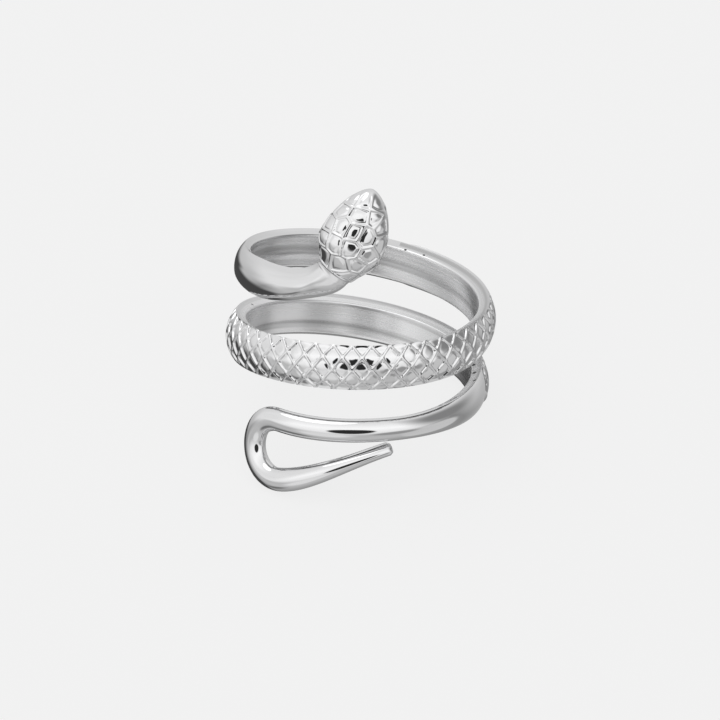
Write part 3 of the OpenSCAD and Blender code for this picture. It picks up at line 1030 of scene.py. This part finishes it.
def patch_mask():
    """Node group: 1 within an oval patch of directions, 0 outside it."""
    tree = new_group("Studio patch", PATCH_INPUTS, ("Mask",))
    enter = new_node(tree, "NodeGroupInput", (-900, 0))
    azimuth, elevation, middle_azimuth, middle_elevation, width, height, fade = (
        enter.outputs[name] for name in PATCH_INPUTS
    )
    turn = maths(tree, "SUBTRACT", (-700, 200), azimuth, middle_azimuth)
    shifted = maths(tree, "ADD", (-550, 200), turn, 3 * HALF_TURN)
    wrapped = maths(tree, "MODULO", (-400, 200), shifted, 2 * HALF_TURN)
    aside = maths(tree, "SUBTRACT", (-250, 200), wrapped, HALF_TURN)
    rise = maths(tree, "SUBTRACT", (-700, 0), elevation, middle_elevation)
    across = maths(tree, "DIVIDE", (-100, 200), aside, width)
    up = maths(tree, "DIVIDE", (-100, 0), rise, height)
    across_squared = maths(tree, "MULTIPLY", (50, 200), across, across)
    up_squared = maths(tree, "MULTIPLY", (50, 0), up, up)
    squares = maths(tree, "ADD", (200, 100), across_squared, up_squared)
    reach = maths(tree, "SQRT", (350, 100), squares)
    inwards = maths(tree, "SUBTRACT", (450, 100), 1, reach)
    faded = maths(tree, "DIVIDE", (500, -50), inwards, fade)
    new_node(tree, "NodeGroupOutput", (700, 0), {"Mask": smooth_step(tree, (560, 0), faded)})
    return tree


def round_light(tree, pitch):
    """Colour of the studio's light by the way round, in radians from the front horizon."""
    span = {"Value": pitch, "From Min": -math.pi, "From Max": math.pi}
    way_round = new_node(tree, "ShaderNodeMapRange", (-900, -300), span)
    sky = new_node(tree, "ShaderNodeValToRGB", (-750, -300), {"Fac": way_round.outputs[0]})
    stops = sky.color_ramp.elements
    stops.remove(stops[-1])
    for k, (angle, tone) in enumerate(ROUND):
        at = angle / (2 * HALF_TURN) + 0.5
        stop = stops.new(at) if k else stops[0]
        stop.position = at
        stop.color = (tone, tone, tone, 1)
    return sky.outputs["Color"]


def studio_light(tree):
    """Colour of the studio in every direction."""
    place = new_node(tree, "ShaderNodeTexCoord", (-1600, 0))
    split = new_node(tree, "ShaderNodeSeparateXYZ", (-1400, 0), {0: place.outputs["Generated"]})
    right, back, up = split.outputs
    front = maths(tree, "MULTIPLY", (-1200, 200), back, -1)
    turn = maths(tree, "ARCTAN2", (-1050, 200), right, front)
    azimuth = maths(tree, "DEGREES", (-900, 200), turn)
    rise = maths(tree, "ARCSINE", (-1200, -100), up)
    elevation = maths(tree, "DEGREES", (-1050, -100), rise)
    pitch = maths(tree, "ARCTAN2", (-1050, -300), up, front)
    light = round_light(tree, pitch)
    mask_group = patch_mask()
    for k, (*oval, tone) in enumerate(PATCHES):
        mask = new_node(tree, "ShaderNodeGroup", (-500 + 150 * k, 200), node_tree=mask_group)
        feed(tree, mask, dict(zip(PATCH_INPUTS, (azimuth, elevation, *oval))))
        patch = (tone, tone, tone, 1)
        light = blend(tree, (-450 + 150 * k, 0), mask.outputs["Mask"], light, patch)
    return light


def make_world(scene):
    """The camera sees the plain backdrop, and the ring mirrors the studio."""
    stage = scene.snake_stage
    world = bpy.data.worlds.new("studio")
    world.use_nodes = True
    scene.world = world
    tree = world.node_tree
    tree.nodes.clear()
    light = {"Color": studio_light(tree), "Strength": stage.light}
    studio = new_node(tree, "ShaderNodeBackground", (800, 100), light)
    plain = new_node(tree, "ShaderNodeBackground", (800, -100), {"Color": (*stage.backdrop, 1)})
    ray = new_node(tree, "ShaderNodeLightPath", (800, 500))
    parts = {0: ray.outputs["Is Camera Ray"], 1: studio.outputs[0], 2: plain.outputs[0]}
    both = new_node(tree, "ShaderNodeMixShader", (1050, 100), parts)
    new_node(tree, "ShaderNodeOutputWorld", (1250, 100), {0: both.outputs[0]})


def pale_floor(stage):
    """Plain to the camera, with a faint shade of the ring."""
    material = bpy.data.materials.new("pale_floor")
    material.use_nodes = True
    tree = material.node_tree
    tree.nodes.clear()
    matt = new_node(tree, "ShaderNodeBsdfDiffuse", (-300, 200), {"Color": (*stage.floor, 1)})
    plain = new_node(tree, "ShaderNodeEmission", (-300, 50), {"Color": (*stage.backdrop, 1)})
    parts = {0: 1 - stage.shade, 1: matt.outputs[0], 2: plain.outputs[0]}
    seen = new_node(tree, "ShaderNodeMixShader", (-50, 150), parts)
    new_node(tree, "ShaderNodeOutputMaterial", (150, 150), {0: seen.outputs[0]})
    return material


def make_floor(scene):
    stage = scene.snake_stage
    mesh = bpy.data.meshes.new("studio_floor")
    shape = bmesh.new()
    bmesh.ops.create_circle(shape, cap_ends=True, segments=FLOOR_SEGMENTS, radius=stage.floor_r)
    shape.to_mesh(mesh)
    shape.free()
    mesh.materials.append(pale_floor(stage))
    floor = bpy.data.objects.new("studio_floor", mesh)
    floor.location.z = -FLOOR_DROP
    floor.visible_glossy = False
    scene.collection.objects.link(floor)


def make_lamp(scene):
    """A soft lamp above, turned to the ring."""
    light = bpy.data.lights.new("soft_box_above", "AREA")
    light.shape = "DISK"
    light.size = LAMP_WIDTH
    light.energy = LAMP_POWER
    lamp = bpy.data.objects.new("soft_box_above", light)
    lamp.location = LAMP_PLACE
    to_ring = Vector(FINGER_HOLE["pos_m"]) - LAMP_PLACE
    lamp.rotation_euler = to_ring.to_track_quat("-Z", "Y").to_euler()
    scene.collection.objects.link(lamp)


def make_camera(scene):
    """The photo's camera: turned and raised round the finger hole, rolled, and aimed beside it."""
    stage = scene.snake_stage
    middle = Vector(FINGER_HOLE["pos_m"])
    az, el = stage.azimuth, stage.elevation
    look = Vector((-math.sin(az) * math.cos(el), math.cos(az) * math.cos(el), -math.sin(el)))
    right = look.cross(Vector((0, 0, 1))).normalized()
    up = right.cross(look)
    tilt = Matrix.Rotation(stage.roll, 3, look)
    right, up = tilt @ right, tilt @ up
    place = middle - look * stage.distance
    aim = (middle + right * stage.aim_right + up * stage.aim_up - place).normalized()
    right = aim.cross(up).normalized()
    up = right.cross(aim)
    data = bpy.data.cameras.new("photo_camera")
    data.sensor_width = SENSOR_WIDTH
    data.lens = stage.lens
    data.clip_start = NEAREST
    data.clip_end = FARTHEST
    camera = bpy.data.objects.new("photo_camera", data)
    turned = Matrix((right, up, -aim)).transposed().to_4x4()
    camera.matrix_world = Matrix.Translation(place) @ turned
    scene.collection.objects.link(camera)
    scene.camera = camera


class SNAKE_OT_stage(bpy.types.Operator):
    """Sets the pale floor, the soft light and the camera"""

    bl_idname = "snake_ring.stage"
    bl_label = "Set the stage"

    def execute(self, context):
        scene = context.scene
        scene.view_settings.view_transform = "Standard"
        scene.view_settings.look = "None"
        make_world(scene)
        make_floor(scene)
        make_lamp(scene)
        make_camera(scene)
        return {"FINISHED"}


class SNAKE_PT_panel(bpy.types.Panel):
    """Steps that build the ring and its studio"""

    bl_idname = "SNAKE_PT_panel"
    bl_label = "Snake wrap ring"
    bl_space_type = "VIEW_3D"
    bl_region_type = "UI"
    bl_category = "Snake ring"

    def draw(self, context):
        for step in STEPS:
            self.layout.operator(step.bl_idname)
        for name, group in GROUPS.items():
            box = self.layout.box()
            box.label(text=group.__doc__)
            for key in group.__annotations__:
                box.prop(getattr(context.scene, name), key)


STEPS = (SNAKE_OT_metal, SNAKE_OT_ring, SNAKE_OT_stage)
CLASSES = (*GROUPS.values(), *STEPS, SNAKE_PT_panel)


def register():
    for cls in CLASSES:
        bpy.utils.register_class(cls)
    for name, group in GROUPS.items():
        setattr(bpy.types.Scene, name, PointerProperty(type=group))


def unregister():
    for name in GROUPS:
        delattr(bpy.types.Scene, name)
    for cls in reversed(CLASSES):
        bpy.utils.unregister_class(cls)


def main():
    register()
    bpy.ops.snake_ring.metal()
    bpy.ops.snake_ring.ring()
    bpy.ops.snake_ring.stage()
    bpy.context.view_layer.update()


if __name__ == "__main__":
    main()
